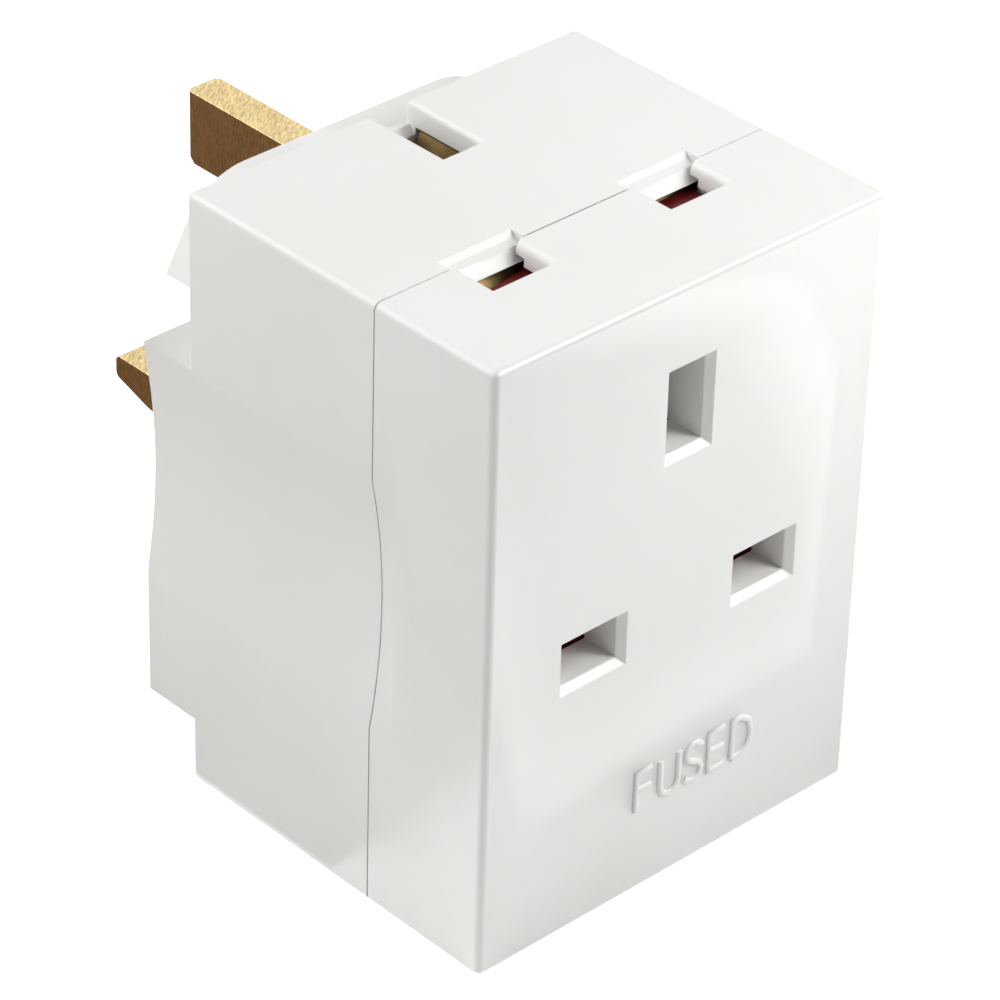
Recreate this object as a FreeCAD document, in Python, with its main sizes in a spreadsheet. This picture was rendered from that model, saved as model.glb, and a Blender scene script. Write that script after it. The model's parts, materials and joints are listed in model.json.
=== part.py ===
"""Three-way fused socket adaptor for square-pin plugs.

One socket in the front, one in the top and one in the bottom, and a fused plug at the back.
Frame: X to the right seen from the front, Y to the back, Z up. The origin is the middle of
the base. Every piece is drawn with Y counted from the front face, and its Placement moves it.
"""
import FreeCAD, Part
import math
import os
import re
import Sketcher

VECTOR = FreeCAD.Vector

# Driving dimensions in millimetres, with what each one is
SIZES = {
    # housing
    "body_width": (49.4, "width of the housing"),
    "body_height": (67.0, "height of the housing"),
    "body_depth": (41.8, "front face to the rear plane"),
    "cover_depth": (15.8, "front face to the parting line"),
    "parting_gap": (0.12, "fine groove between the two mouldings"),
    "side_wall": (2.8, "side walls, which also hold the finger scoops"),
    "flat_wall": (2.4, "front, top and bottom walls"),
    "rear_wall": (1.6, "rear wall beside the plug base"),
    "edge_round": (0.8, "radius of the outer edges"),
    "lip_thick": (0.8, "locating lip of the rear moulding"),
    "lip_reach": (1.2, "how far the lip enters the cover"),
    "lip_gap": (0.1, "clearance round the lip"),
    # plug base
    "plug_reach": (6.7, "how far the plug base stands behind the rear plane"),
    "base_wall": (2.2, "walls of the plug base"),
    "base_round": (0.5, "radius of the rear edges of the plug base"),
    "block_drop": (24.45, "flat pins of the plug to the bottom of the wide block"),
    "block_rise": (16.0, "flat pins of the plug to the top of the wide block"),
    "neck_inset": (9.7, "side face to the neck between the two screw notches"),
    "head_foot_rise": (22.3, "flat pins of the plug to the underside of the head"),
    "head_foot_inset": (2.8, "side face to the foot of the head"),
    "head_top_rise": (30.95, "flat pins of the plug to the flat top of the head"),
    "head_top_inset": (7.6, "side face to the top of the head before rounding"),
    "head_round": (8.5, "radius of the shoulders of the head"),
    "head_room_half": (12.5, "half width of the hollow in the head"),
    # finger scoops
    "scoop_lift": (0.8, "middle height to the middle of the scoop"),
    "scoop_half": (13.9, "half height of the scoop"),
    "scoop_sink": (1.4, "depth of the scoop at its middle"),
    "scoop_front": (12.5, "front end of the scoop"),
    # pin pattern and sockets
    "half_pitch": (11.115, "centre to each of the two flat pins"),
    "pin_rise": (22.23, "row of flat pins to the earth pin"),
    "plug_row_drop": (1.6, "middle height to the flat pins of the plug"),
    "front_row_drop": (2.4, "middle height to the flat slots of the front socket"),
    "top_row": (13.4, "front face to the flat slots of the top and bottom sockets"),
    "flat_hole_width": (7.0, "flat slot, long side"),
    "flat_hole_height": (4.6, "flat slot, short side"),
    "earth_hole_width": (4.6, "earth slot, short side"),
    "earth_hole_height": (8.8, "earth slot, long side"),
    "lead_in": (0.75, "chamfer round the slots in the front"),
    "mouth_round": (1.0, "rounded mouth of the flat slots in the top and bottom"),
    "channel_round": (0.7, "rounded mouth of the earth slots in the top and bottom"),
    "rim_lead_in": (1.6, "lead-in of the rear moulding behind the flat slots"),
    "well_reach": (4.9, "front face to the end of the wells round the front slots"),
    "earth_well_reach": (6.6, "front face to the end of the earth slot's well"),
    "well_wall": (1.2, "walls of the wells"),
    # pins
    "flat_pin_width": (6.3, "flat pin, long side"),
    "flat_pin_thick": (4.0, "flat pin, short side"),
    "flat_pin_reach": (17.5, "flat pin beyond the plug face"),
    "earth_pin_width": (4.0, "earth pin, short side"),
    "earth_pin_height": (8.0, "earth pin, long side"),
    "earth_pin_reach": (20.8, "earth pin beyond the plug face"),
    "nose_chamfer": (0.8, "small chamfer of the pin noses"),
    "earth_nose": (1.4, "chamfer under the earth pin's nose"),
    "flat_nose_rise": (1.6, "height of the slope under a flat pin's nose"),
    "flat_nose_run": (5.5, "length of the slope under a flat pin's nose"),
    "sleeve_reach": (9.5, "insulating sleeve beyond the plug face"),
    "sleeve_thick": (0.55, "wall of the sleeve"),
    "pin_fit": (0.03, "gap round a pin in its seat"),
    "tower_wall": (1.8, "plastic round each pin inside the base"),
    # sheet metal
    "bar_thick": (0.8, "thickness of the busbars"),
    "bar_half": (3.0, "half width of the flat-pin busbars"),
    "neutral_plane": (18.9, "front face to the neutral busbar"),
    "line_plane": (22.9, "front face to the line busbar"),
    "tail_plane": (40.0, "front face to the plates behind the plug pins"),
    "cross_half": (2.2, "half height of the bars that cross"),
    "neutral_cross_drop": (7.9, "flat pins of the plug to the crossing of the neutral bar"),
    "line_cross_drop": (11.9, "flat pins of the plug to the crossing of the line bar"),
    "flange_out": (16.8, "centre to the outer face of the bars' flanges"),
    "flange_half": (4.0, "half height of the neutral flange"),
    "spine_half": (3.5, "half width of the earth spine"),
    "arm_rise": (3.1, "flat pins of the plug to the earth arm"),
    "clip": (0.6, "thickness of the contact strip"),
    "flat_contact_depth": (18.9, "socket face to the end of a flat contact"),
    "flat_contact_mouth": (4.6, "socket face to the mouth of a flat contact"),
    "front_flat_mouth": (6.8, "the same in the front socket"),
    "flat_contact_half": (2.8, "half width of a flat contact"),
    "earth_contact_depth": (24.1, "socket face to the end of an earth contact"),
    "earth_contact_mouth": (2.8, "socket face to the mouth of an earth contact"),
    "front_earth_mouth": (7.0, "the same in the front socket"),
    "earth_contact_half": (3.5, "half width of the front earth contact"),
    "earth_contact_front": (4.2, "middle of a top or bottom earth contact to its front edge"),
    "earth_contact_back": (4.2, "middle of a top or bottom earth contact to its back edge"),
    "guide_half": (5.2, "half width of the guide plate behind a top or bottom flat contact"),
    "guide_top": (2.95, "socket face to the end of that plate"),
    "guide_reach": (4.0, "flat pin's middle to the end of that plate"),
    "jaw_half": (2.15, "half gap between the jaws"),
    "pinch_half": (1.75, "half gap where the jaws grip"),
    "flare_half": (2.6, "half gap at the mouth"),
    "flare_run": (2.4, "length of the mouth's flare"),
    "straight_run": (4.0, "straight foot of the jaws"),
    "tab_drop": (5.0, "length of the tab that meets a busbar"),
    "tab_half": (2.0, "half width of an earth tab"),
    "post_radius": (1.6, "posts behind the busbars"),
    "post_rise": (12.1, "flat pins of the plug to the posts"),
    # shutters
    "shutter_sink": (3.0, "socket face to the top and bottom shutters"),
    "front_shutter_sink": (5.2, "front face to the front shutter"),
    "shutter_thick": (1.2, "thickness of the shutter"),
    "blade_half": (15.0, "half width of the shutter"),
    "blade_front": (3.2, "row of flat slots to the blade's sprung edge"),
    "blade_back": (2.5, "row of flat slots to the blade's other edge"),
    "blade_slant": (1.9, "how far that edge falls back at one end"),
    "blade_round": (0.9, "radius of the blade's corners"),
    "arm_half": (3.2, "half width of the shutter's arm"),
    "ramp_half": (1.4, "half width of the ramp"),
    "ramp_run": (5.2, "length and height of the ramp"),
    "shutter_play": (0.3, "gap beside the shutter"),
    "rail_thick": (0.8, "thickness of the guide rails"),
    "rail_pass": (1.4, "how far the guide rails pass the face of a shutter"),
    "rail_below": (9.0, "flat slots to the lower end of the front rails"),
    "rail_above": (4.0, "flat slots to the upper end of the front rails"),
    "rail_end_gap": (0.4, "rails of the top and bottom shutters to the rear moulding"),
    "spring_half": (1.2, "half depth of the folded shutter springs"),
    "spring_strip": (0.4, "slanted thickness of the spring strip"),
    "spring_width": (3.0, "width of the spring strip"),
    "spring_drop": (1.2, "face of a shutter to its spring's axis"),
    "seat_thick": (1.2, "rib that the front spring stands on"),
    "seat_half": (2.5, "half width of that rib"),
    "seat_gap": (0.4, "how far that rib passes the spring"),
    "peg_depth": (1.2, "length of the peg on the blade that the spring pushes"),
    "arm_end_gap": (0.7, "end of the arm to the earth pin"),
    "ramp_thick": (1.3, "length of the ramp's end"),
    # fuse and its carrier
    "fuse_drop": (12.9, "flat pins of the plug to the fuse"),
    "fuse_radius": (3.175, "radius of the fuse's caps"),
    "fuse_tube_radius": (2.9, "radius of the fuse's ceramic tube"),
    "fuse_half": (12.7, "half length of the fuse"),
    "cap_length": (5.8, "length of a fuse cap"),
    "fuse_depth": (44.1, "front face to the fuse's axis"),
    "carrier_half": (15.0, "half width of the carrier's face"),
    "carrier_rise": (4.6, "half height of the carrier's face"),
    "carrier_plate": (1.0, "thickness of the carrier's face"),
    "carrier_sink": (0.1, "carrier's face below the plug face"),
    "carrier_play": (0.3, "gap round the carrier"),
    "cradle_half": (6.2, "half width of the fuse cradle"),
    "cradle_rise": (3.9, "half height of the fuse cradle"),
    "cradle_wrap": (1.9, "how far the cradle passes the fuse's axis"),
    "seat_play": (0.04, "gap between fuse and cradle or jaws"),
    "pry_slot_half": (4.0, "half length of the slot for a screwdriver"),
    "pry_slot_rise": (0.6, "half height of the slot"),
    "pry_slot_sink": (0.6, "depth of the slot"),
    "chimney_wall": (1.2, "walls that guide the carrier"),
    "fuse_jaw_in": (7.4, "centre to the near side of a fuse jaw"),
    "fuse_jaw_out": (12.4, "centre to the far side of a fuse jaw"),
    "fuse_jaw_reach": (5.4, "length of the fuse jaws"),
    # screws
    "screw_inset": (5.5, "side face to the case screws"),
    "low_screw_rise": (5.05, "bottom of the wide block to the lower screws"),
    "pillar_radius": (3.6, "screw pillars of the rear moulding"),
    "boss_radius": (3.25, "screw bosses of the cover"),
    "shank_radius": (1.45, "screw shank"),
    "core_radius": (1.1, "screw core in the cover's boss"),
    "shank_gap": (0.15, "gap round the shank"),
    "screw_bite": (9.0, "how far a screw enters the cover's boss"),
    "tip_length": (1.0, "tapered tip of a screw, and the space in front of it"),
    "head_radius": (2.7, "screw head"),
    "head_height": (1.8, "height of the screw head"),
    "head_rim": (1.1, "height of the straight rim of the screw head"),
    "head_flat": (1.9, "radius of the flat top of the screw head"),
    "head_sink": (2.2, "counterbore depth"),
    "head_gap": (0.2, "gap round the screw head"),
    "cross_slot": (0.45, "half width of the cross recess"),
    "cross_slot_reach": (1.7, "half length of the cross recess"),
    "cross_slot_sink": (0.9, "depth of the cross recess"),
}

# Places and sizes that follow from the ones above, each with its formula and what it is
FOLLOWING = {
    "plug_row": ("body_height / 2 - plug_row_drop", "height of the flat pins of the plug"),
    "front_row": ("body_height / 2 - front_row_drop", "height of the flat slots of the front socket"),
    "earth_row": ("top_row + pin_rise", "front face to the earth slots of the top and bottom sockets"),
    "plug_face": ("body_depth + plug_reach", "front face to the face of the plug base"),
    "base_floor": ("plug_face - base_wall", "front face to the inside of the plug base"),
    "block_bottom": ("plug_row - block_drop", "bottom of the wide block"),
    "block_top": ("plug_row + block_rise", "top of the wide block"),
    "neck_half": ("body_width / 2 - neck_inset", "half width of the neck"),
    "head_foot": ("plug_row + head_foot_rise", "underside of the head"),
    "head_foot_half": ("body_width / 2 - head_foot_inset", "half width of the head at its foot"),
    "head_top": ("plug_row + head_top_rise", "top of the head"),
    "head_top_half": ("body_width / 2 - head_top_inset", "half width of the head at its top"),
    "room_half": ("body_width / 2 - side_wall", "half width of the room in the housing"),
    "scoop_row": ("body_height / 2 + scoop_lift", "height of the middle of the scoop"),
    "scoop_radius": ("(scoop_half^2 + scoop_sink^2) / (2 * scoop_sink)", "radius of the scoop"),
    "bar_back": ("tail_plane + bar_thick", "front face to the back of the plates behind the pins"),
    "neutral_cross": ("plug_row - neutral_cross_drop", "height of the neutral bar's crossing"),
    "line_cross": ("plug_row - line_cross_drop", "height of the line bar's crossing"),
    "arm_height": ("plug_row + arm_rise", "height of the earth arm"),
    "fuse_row": ("plug_row - fuse_drop", "height of the fuse"),
    "screw_offset": ("body_width / 2 - screw_inset", "centre to the case screws"),
    "low_screw": ("block_bottom + low_screw_rise", "height of the lower screws"),
    "high_screw": ("(block_top + head_foot) / 2", "height of the upper screws, in the notches"),
    "spring_space": ("top_row - blade_front - flat_wall", "length of a shutter spring"),
    "ramp_start": ("pin_rise - earth_pin_height / 2", "row of flat slots to the foot of the ramp"),
}

SPRING_LEGS = 4
CLOSE = 1e-4
SLACK = 0.01

doc = FreeCAD.newDocument("socket_adaptor")
sheet = doc.addObject("Spreadsheet::Sheet", "Sizes")
WORDS = {**SIZES, **FOLLOWING}
bodies = []


def fill_sheet():
    """Write each word into the sheet with its number or formula and what it is."""
    for row, (word, (value, meaning)) in enumerate(WORDS.items(), 1):
        sheet.set(f"A{row}", word)
        sheet.set(f"B{row}", str(value) if word in SIZES else "=" + value)
        sheet.set(f"C{row}", meaning)
        sheet.setAlias(f"B{row}", word)
    doc.recompute()


def size(word):
    return float(sheet.get(word))


def formula(text):
    """Turn the sheet's bare words into references to its cells."""
    return re.sub(r"[a-z]\w*", lambda found: "Sizes." + found[0] if found[0] in WORDS else found[0], text)


def new_body(label, x="0", y="0", z="0", turn=None):
    """A body drawn with Y counted from the front face. x, y and z move its own origin."""
    body = doc.addObject("PartDesign::Body", label)
    body.Label = label
    if turn:
        body.Placement = FreeCAD.Placement(VECTOR(), FreeCAD.Rotation(VECTOR(*turn[0]), turn[1]))
    body.setExpression("Placement.Base.x", formula(x))
    body.setExpression("Placement.Base.y", formula(f"{y} - body_depth / 2"))
    body.setExpression("Placement.Base.z", formula(z))
    bodies.append(body)
    return body


# Outlines: each is a kind and its measures in the sketch's own two directions
def rect(left, low, right, high):
    return ("polygon", [(left, low), (right, low), (right, high), (left, high)])


def centred(x, y, half_x, half_y):
    return rect(f"{x} - ({half_x})", f"{y} - ({half_y})", f"{x} + ({half_x})", f"{y} + ({half_y})")


def poly(*points):
    return ("polygon", list(points))


def disc(x, y, radius):
    return ("circle", (x, y, radius))


def draw_polygon(sketch, points):
    """Join the corners with lines and tie each corner to its place."""
    first = sketch.GeometryCount
    count = len(points)
    corners = [VECTOR(math.cos(math.tau * i / count), math.sin(math.tau * i / count)) for i in range(count)]
    for i in range(count):
        sketch.addGeometry(Part.LineSegment(corners[i], corners[(i + 1) % count]), False)
    for i in range(count):
        sketch.addConstraint(Sketcher.Constraint("Coincident", first + i, 2, first + (i + 1) % count, 1))
    for i, (x, y) in enumerate(points):
        tie(sketch, "DistanceX", (-1, 1, first + i, 1, corners[i].x), x)
        tie(sketch, "DistanceY", (-1, 1, first + i, 1, corners[i].y), y)


def draw_circle(sketch, measures):
    x, y, radius = measures
    circle = sketch.addGeometry(Part.Circle(VECTOR(0, 0, 0), VECTOR(0, 0, 1), 1), False)
    tie(sketch, "DistanceX", (-1, 1, circle, 3, 0), x)
    tie(sketch, "DistanceY", (-1, 1, circle, 3, 0), y)
    tie(sketch, "Radius", (circle, 1), radius)


def tie(sketch, kind, places, text):
    number = sketch.addConstraint(Sketcher.Constraint(kind, *places))
    sketch.setExpression(f"Constraints[{number}]", formula(text))


def new_sketch(body, name, plane, start, outlines):
    """A sketch on one of the body's planes, moved to start along that plane's axis."""
    sketch = body.newObject("Sketcher::SketchObject", name)
    support = [item for item in body.Origin.OriginFeatures if item.Role == plane + "_Plane"][0]
    sketch.AttachmentSupport = [(support, "")]
    sketch.MapMode = "FlatFace"
    # the XZ plane faces the front, so its offset counts the other way
    sketch.setExpression("AttachmentOffset.Base.z", formula(f"-({start})" if plane == "XZ" else start))
    for kind, measures in outlines:
        if kind == "polygon":
            draw_polygon(sketch, measures)
        else:
            draw_circle(sketch, measures)
    sketch.Visibility = False
    return sketch


def volume(body):
    return body.Shape.Volume if body.Tip and not body.Shape.isNull() else 0.0


def add(body, name, plane, start, length, *outlines, middle=False):
    """Pad the outlines from start along the plane's axis, or to both sides of it."""
    before = volume(body)
    sketch = new_sketch(body, name + "_outline", plane, start, outlines)
    pad = body.newObject("PartDesign::Pad", name)
    pad.Profile = sketch
    pad.setExpression("Length", formula(length))
    pad.Reversed = plane == "XZ" and not middle
    pad.SideType = "Symmetric" if middle else "One side"
    doc.recompute()
    if volume(body) <= before:
        raise ValueError(f"{name} adds nothing to {body.Label}")
    return pad


def cut(body, name, plane, start, length, *outlines, middle=False):
    """Pocket the outlines from start along the plane's axis, or to both sides of it."""
    before = volume(body)
    sketch = new_sketch(body, name + "_outline", plane, start, outlines)
    pocket = body.newObject("PartDesign::Pocket", name)
    pocket.Profile = sketch
    pocket.setExpression("Length", formula(length))
    pocket.Reversed = plane != "XZ" and not middle
    pocket.SideType = "Symmetric" if middle else "One side"
    doc.recompute()
    if volume(body) >= before:
        raise ValueError(f"{name} cuts nothing from {body.Label}")
    return pocket


def dress(body, kind, name, amount, test):
    """Fillet or chamfer the edges whose boxes pass the test."""
    base = body.Tip
    names = [f"Edge{i}" for i, edge in enumerate(base.Shape.Edges, 1) if test(edge.BoundBox)]
    if not names:
        raise ValueError(f"{name} finds no edge on {body.Label}")
    feature = body.newObject("PartDesign::" + kind, name)
    feature.Base = (base, names)
    feature.setExpression("Radius" if kind == "Fillet" else "Size", formula(amount))
    doc.recompute()
    return feature


def near(a, b):
    return abs(a - b) < CLOSE


def along(box, axis):
    """True for an edge that runs along one axis only."""
    spans = {"X": box.XLength, "Y": box.YLength, "Z": box.ZLength}
    return all(near(span, 0) for name, span in spans.items() if name != axis) and spans[axis] > SLACK


def mirrored(outline):
    """The same outline on the other side of the middle plane."""
    kind, measures = outline
    if kind == "circle":
        x, y, radius = measures
        return ("circle", (f"-({x})", y, radius))
    return ("polygon", [(f"-({x})", y) for x, y in measures])


def both(outline):
    return outline, mirrored(outline)


# Front moulding: a tray with three slots in its face and open notches in its top and bottom
def front_cover():
    body = new_body("front_cover")
    width, height, margin = size("body_width"), size("body_height"), size("side_wall")
    add(body, "cover_block", "XZ", "0", "cover_depth - parting_gap",
        rect("-body_width / 2", "0", "body_width / 2", "body_height"))
    dress(body, "Fillet", "cover_edges", "edge_round",
          lambda box: near(box.YMax, 0) or along(box, "Y"))
    cut(body, "cover_room", "XZ", "flat_wall", "cover_depth",
        centred("0", "body_height / 2", "room_half", "body_height / 2 - flat_wall"))
    front_wells(body)
    dress(body, "Chamfer", "front_lead_ins", "lead_in",
          lambda box: near(box.YMax, 0) and abs(box.Center.x) < width / 2 - margin
          and margin < box.Center.z < height - margin)
    cut(body, "flat_notches", "XY", "0", "body_height",
        *both(rect("half_pitch - flat_hole_width / 2", "top_row - flat_hole_height / 2",
                   "half_pitch + flat_hole_width / 2", "cover_depth")))
    reach = size("half_pitch") + size("flat_hole_width") / 2 + SLACK
    dress(body, "Fillet", "notch_mouths", "mouth_round",
          lambda box: (near(box.ZMin, height) or near(box.ZMax, 0)) and box.YMin < size("top_row")
          and max(abs(box.XMin), abs(box.XMax)) < reach)
    add(body, "screw_bosses", "XZ", "flat_wall", "cover_depth - parting_gap - flat_wall",
        *both(disc("screw_offset", "low_screw", "boss_radius")),
        *both(disc("screw_offset", "high_screw", "boss_radius")))
    cut(body, "pilot_holes", "XZ", "cover_depth - screw_bite - tip_length",
        "screw_bite + tip_length",
        *both(disc("screw_offset", "low_screw", "core_radius")),
        *both(disc("screw_offset", "high_screw", "core_radius")))
    add(body, "front_rails", "XZ", "flat_wall", "front_shutter_sink + rail_pass - flat_wall",
        *both(rect("blade_half + shutter_play", "front_row - rail_below",
                   "blade_half + shutter_play + rail_thick", "front_row + rail_above")))
    rail_end = "shutter_sink + rail_pass"
    for name, low, high in (("top_rails", f"body_height - ({rail_end})", "body_height - flat_wall"),
                            ("bottom_rails", "flat_wall", rail_end)):
        add(body, name, "XZ", "flat_wall", "cover_depth - flat_wall - rail_end_gap",
            *both(rect("blade_half + shutter_play", low, "blade_half + shutter_play + rail_thick", high)))
    add(body, "spring_seat", "XZ", "flat_wall",
        "front_shutter_sink + spring_drop + spring_half - flat_wall + seat_gap",
        rect("-seat_half", "front_row - blade_front - spring_space - seat_thick",
             "seat_half", "front_row - blade_front - spring_space"))
    cut(body, "lip_groove", "XZ", "cover_depth - lip_reach", "lip_reach",
        centred("0", "body_height / 2", "room_half + lip_thick + lip_gap",
                "body_height / 2 - flat_wall + lip_thick + lip_gap"),
        centred("0", "body_height / 2", "room_half", "body_height / 2 - flat_wall"))
    cut(body, "cover_scoops", "XZ", "scoop_front", "cover_depth",
        *both(disc("body_width / 2 - scoop_sink + scoop_radius", "scoop_row", "scoop_radius")))
    return body


def front_wells(body):
    """The three slots of the front socket, each with a well behind it. The shutter's arm passes
    under the deeper part of the earth slot's well, which is open there."""
    flat = centred("half_pitch", "front_row", "flat_hole_width / 2", "flat_hole_height / 2")
    earth_row = "front_row + pin_rise"
    earth = centred("0", earth_row, "earth_hole_width / 2", "earth_hole_height / 2")
    add(body, "wells", "XZ", "flat_wall", "well_reach - flat_wall",
        *both(centred("half_pitch", "front_row", "flat_hole_width / 2 + well_wall",
                      "flat_hole_height / 2 + well_wall")),
        centred("0", earth_row, "earth_hole_width / 2 + well_wall", "earth_hole_height / 2 + well_wall"))
    add(body, "earth_well", "XZ", "well_reach", "earth_well_reach - well_reach",
        rect("-earth_hole_width / 2 - well_wall", f"{earth_row} - earth_hole_height / 2",
             "earth_hole_width / 2 + well_wall", f"{earth_row} + earth_hole_height / 2 + well_wall"))
    cut(body, "front_slots", "XZ", "0", "earth_well_reach", *both(flat), earth)


# Rear moulding: a deep box whose rear wall carries the shouldered plug base
def rear_body():
    body = new_body("rear_body")
    height, depth, face = size("body_height"), size("body_depth"), size("plug_face")
    add(body, "box_block", "XZ", "cover_depth", "body_depth - cover_depth",
        rect("-body_width / 2", "0", "body_width / 2", "body_height"))
    dress(body, "Fillet", "long_edges", "edge_round", lambda box: along(box, "Y"))
    right = [("body_width / 2", "block_bottom"), ("body_width / 2", "block_top"),
             ("neck_half", "block_top"), ("neck_half", "head_foot"),
             ("head_foot_half", "head_foot"), ("head_top_half", "head_top")]
    left = [(f"-({x})", z) for x, z in reversed(right)]
    add(body, "plug_base", "XZ", "body_depth", "plug_reach", poly(*right, *left))
    top_half, top = size("head_top_half"), size("head_top")
    dress(body, "Fillet", "shoulders", "head_round",
          lambda box: along(box, "Y") and near(abs(box.Center.x), top_half) and near(box.Center.z, top))
    dress(body, "Fillet", "rear_edges", "edge_round",
          lambda box: near(box.YMin, depth) and near(box.YMax, depth)
          and (along(box, "X") and (near(box.Center.z, height) or near(box.Center.z, 0))))
    dress(body, "Fillet", "base_edges", "base_round",
          lambda box: near(box.YMin, face) and near(box.YMax, face))
    cut(body, "box_room", "XZ", "cover_depth", "body_depth - rear_wall - cover_depth",
        centred("0", "body_height / 2", "room_half", "body_height / 2 - flat_wall"))
    room_right = [("room_half", "block_bottom + base_wall"), ("room_half", "block_top - base_wall"),
                  ("head_room_half", "block_top - base_wall"), ("head_room_half", "head_top - base_wall")]
    room_left = [(f"-({x})", z) for x, z in reversed(room_right)]
    cut(body, "base_room", "XZ", "body_depth - rear_wall", "rear_wall + plug_reach - base_wall",
        poly(*room_right, *room_left))
    add(body, "pin_towers", "XZ", "bar_back", "base_floor - bar_back",
        *both(centred("half_pitch", "plug_row", "flat_pin_width / 2 + tower_wall",
                      "flat_pin_thick / 2 + tower_wall")),
        centred("0", "plug_row + pin_rise", "earth_pin_width / 2 + tower_wall",
                "earth_pin_height / 2 + tower_wall"))
    add(body, "fuse_chimney", "XZ", "bar_back", "base_floor - bar_back",
        centred("0", "fuse_row", "carrier_half + carrier_play + chimney_wall",
                "carrier_rise + carrier_play + chimney_wall"))
    add(body, "low_pillars", "XZ", "cover_depth", "base_floor - cover_depth",
        *both(disc("screw_offset", "low_screw", "pillar_radius")))
    add(body, "high_pillars", "XZ", "cover_depth", "body_depth - rear_wall - cover_depth",
        *both(disc("screw_offset", "high_screw", "pillar_radius")))
    add(body, "bar_posts", "XZ", "line_plane + bar_thick", "base_floor - line_plane - bar_thick",
        disc("half_pitch", "plug_row + post_rise", "post_radius"))
    add(body, "neutral_post", "XZ", "neutral_plane + bar_thick", "base_floor - neutral_plane - bar_thick",
        disc("-half_pitch", "plug_row + post_rise", "post_radius"))
    cut(body, "pin_seats", "XZ", "bar_back", "plug_face - bar_back",
        *both(centred("half_pitch", "plug_row", "flat_pin_width / 2 + pin_fit",
                      "flat_pin_thick / 2 + pin_fit")),
        centred("0", "plug_row + pin_rise", "earth_pin_width / 2 + pin_fit",
                "earth_pin_height / 2 + pin_fit"))
    cut(body, "fuse_pocket", "XZ", "bar_back", "plug_face - bar_back",
        centred("0", "fuse_row", "carrier_half + carrier_play", "carrier_rise + carrier_play"))
    cut(body, "screw_holes", "XZ", "cover_depth", "plug_face - cover_depth",
        *both(disc("screw_offset", "low_screw", "shank_radius + shank_gap")),
        *both(disc("screw_offset", "high_screw", "shank_radius + shank_gap")))
    cut(body, "low_counterbores", "XZ", "plug_face - head_sink", "head_sink",
        *both(disc("screw_offset", "low_screw", "head_radius + head_gap")))
    cut(body, "high_counterbores", "XZ", "body_depth - head_sink", "head_sink",
        *both(disc("screw_offset", "high_screw", "head_radius + head_gap")))
    earth_slots(body, height)
    rim_lead_ins(body)
    lip(body)
    cut(body, "body_scoops", "XZ", "cover_depth", "plug_face - cover_depth",
        *both(disc("body_width / 2 - scoop_sink + scoop_radius", "scoop_row", "scoop_radius")))
    return body


def earth_slots(body, height):
    """Open channels in the top and bottom walls, with a lead-in along their outer edges."""
    channel = rect("-earth_hole_width / 2", "earth_row - earth_hole_height / 2",
                   "earth_hole_width / 2", "plug_face")
    cut(body, "top_channel", "XY", "body_height - flat_wall", "flat_wall", channel)
    cut(body, "bottom_channel", "XY", "0", "flat_wall", channel)
    half = size("earth_hole_width") / 2 + SLACK
    back = size("body_depth") - size("edge_round") - SLACK
    dress(body, "Fillet", "channel_mouths", "channel_round",
          lambda box: (near(box.ZMin, height) or near(box.ZMax, 0)) and box.YMin < back
          and max(abs(box.XMin), abs(box.XMax)) < half)
    floor = size("body_depth") - size("rear_wall")
    low, high = size("flat_wall"), height - size("flat_wall")
    dress(body, "Chamfer", "sill_lead_ins", "edge_round",
          lambda box: along(box, "X") and near(box.YMin, floor) and box.XLength < 2 * half
          and (near(box.ZMin, low) or near(box.ZMin, high)))


def rim_lead_ins(body):
    """Slopes on the rim that close the flat notches of the cover."""
    for name, start in (("right_rim_slopes", "half_pitch - flat_hole_width / 2 - mouth_round"),
                        ("left_rim_slopes", "-half_pitch - flat_hole_width / 2 - mouth_round")):
        cut(body, name, "YZ", start, "flat_hole_width + 2 * mouth_round",
            poly(("cover_depth", "body_height"), ("cover_depth + rim_lead_in", "body_height"),
                 ("cover_depth", "body_height - rim_lead_in")),
            poly(("cover_depth", "0"), ("cover_depth + rim_lead_in", "0"), ("cover_depth", "rim_lead_in")))


def lip(body):
    """Locating lip round the room, open behind the flat notches."""
    add(body, "lip", "XZ", "cover_depth - lip_reach", "lip_reach",
        centred("0", "body_height / 2", "room_half + lip_thick", "body_height / 2 - flat_wall + lip_thick"),
        centred("0", "body_height / 2", "room_half", "body_height / 2 - flat_wall"))
    cut(body, "lip_gaps", "XY", "0", "body_height",
        *both(rect("half_pitch - flat_hole_width / 2 - mouth_round", "cover_depth - lip_reach",
                   "half_pitch + flat_hole_width / 2 + mouth_round", "cover_depth")))


# Pins
def earth_pin():
    body = new_body("earth_pin")
    low, high = "plug_row + pin_rise - earth_pin_height / 2", "plug_row + pin_rise + earth_pin_height / 2"
    tip = "plug_face + earth_pin_reach"
    add(body, "bar_stock", "YZ", "0", "earth_pin_width",
        poly(("bar_back", low), (f"{tip} - earth_nose", low), (tip, f"{low} + earth_nose"),
             (tip, f"{high} - nose_chamfer / 2"), (f"{tip} - nose_chamfer / 2", high), ("bar_back", high)),
        middle=True)
    end = size("plug_face") + size("earth_pin_reach")
    dress(body, "Chamfer", "nose", "nose_chamfer", lambda box: along(box, "Z") and near(box.YMin, end))
    return body


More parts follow.
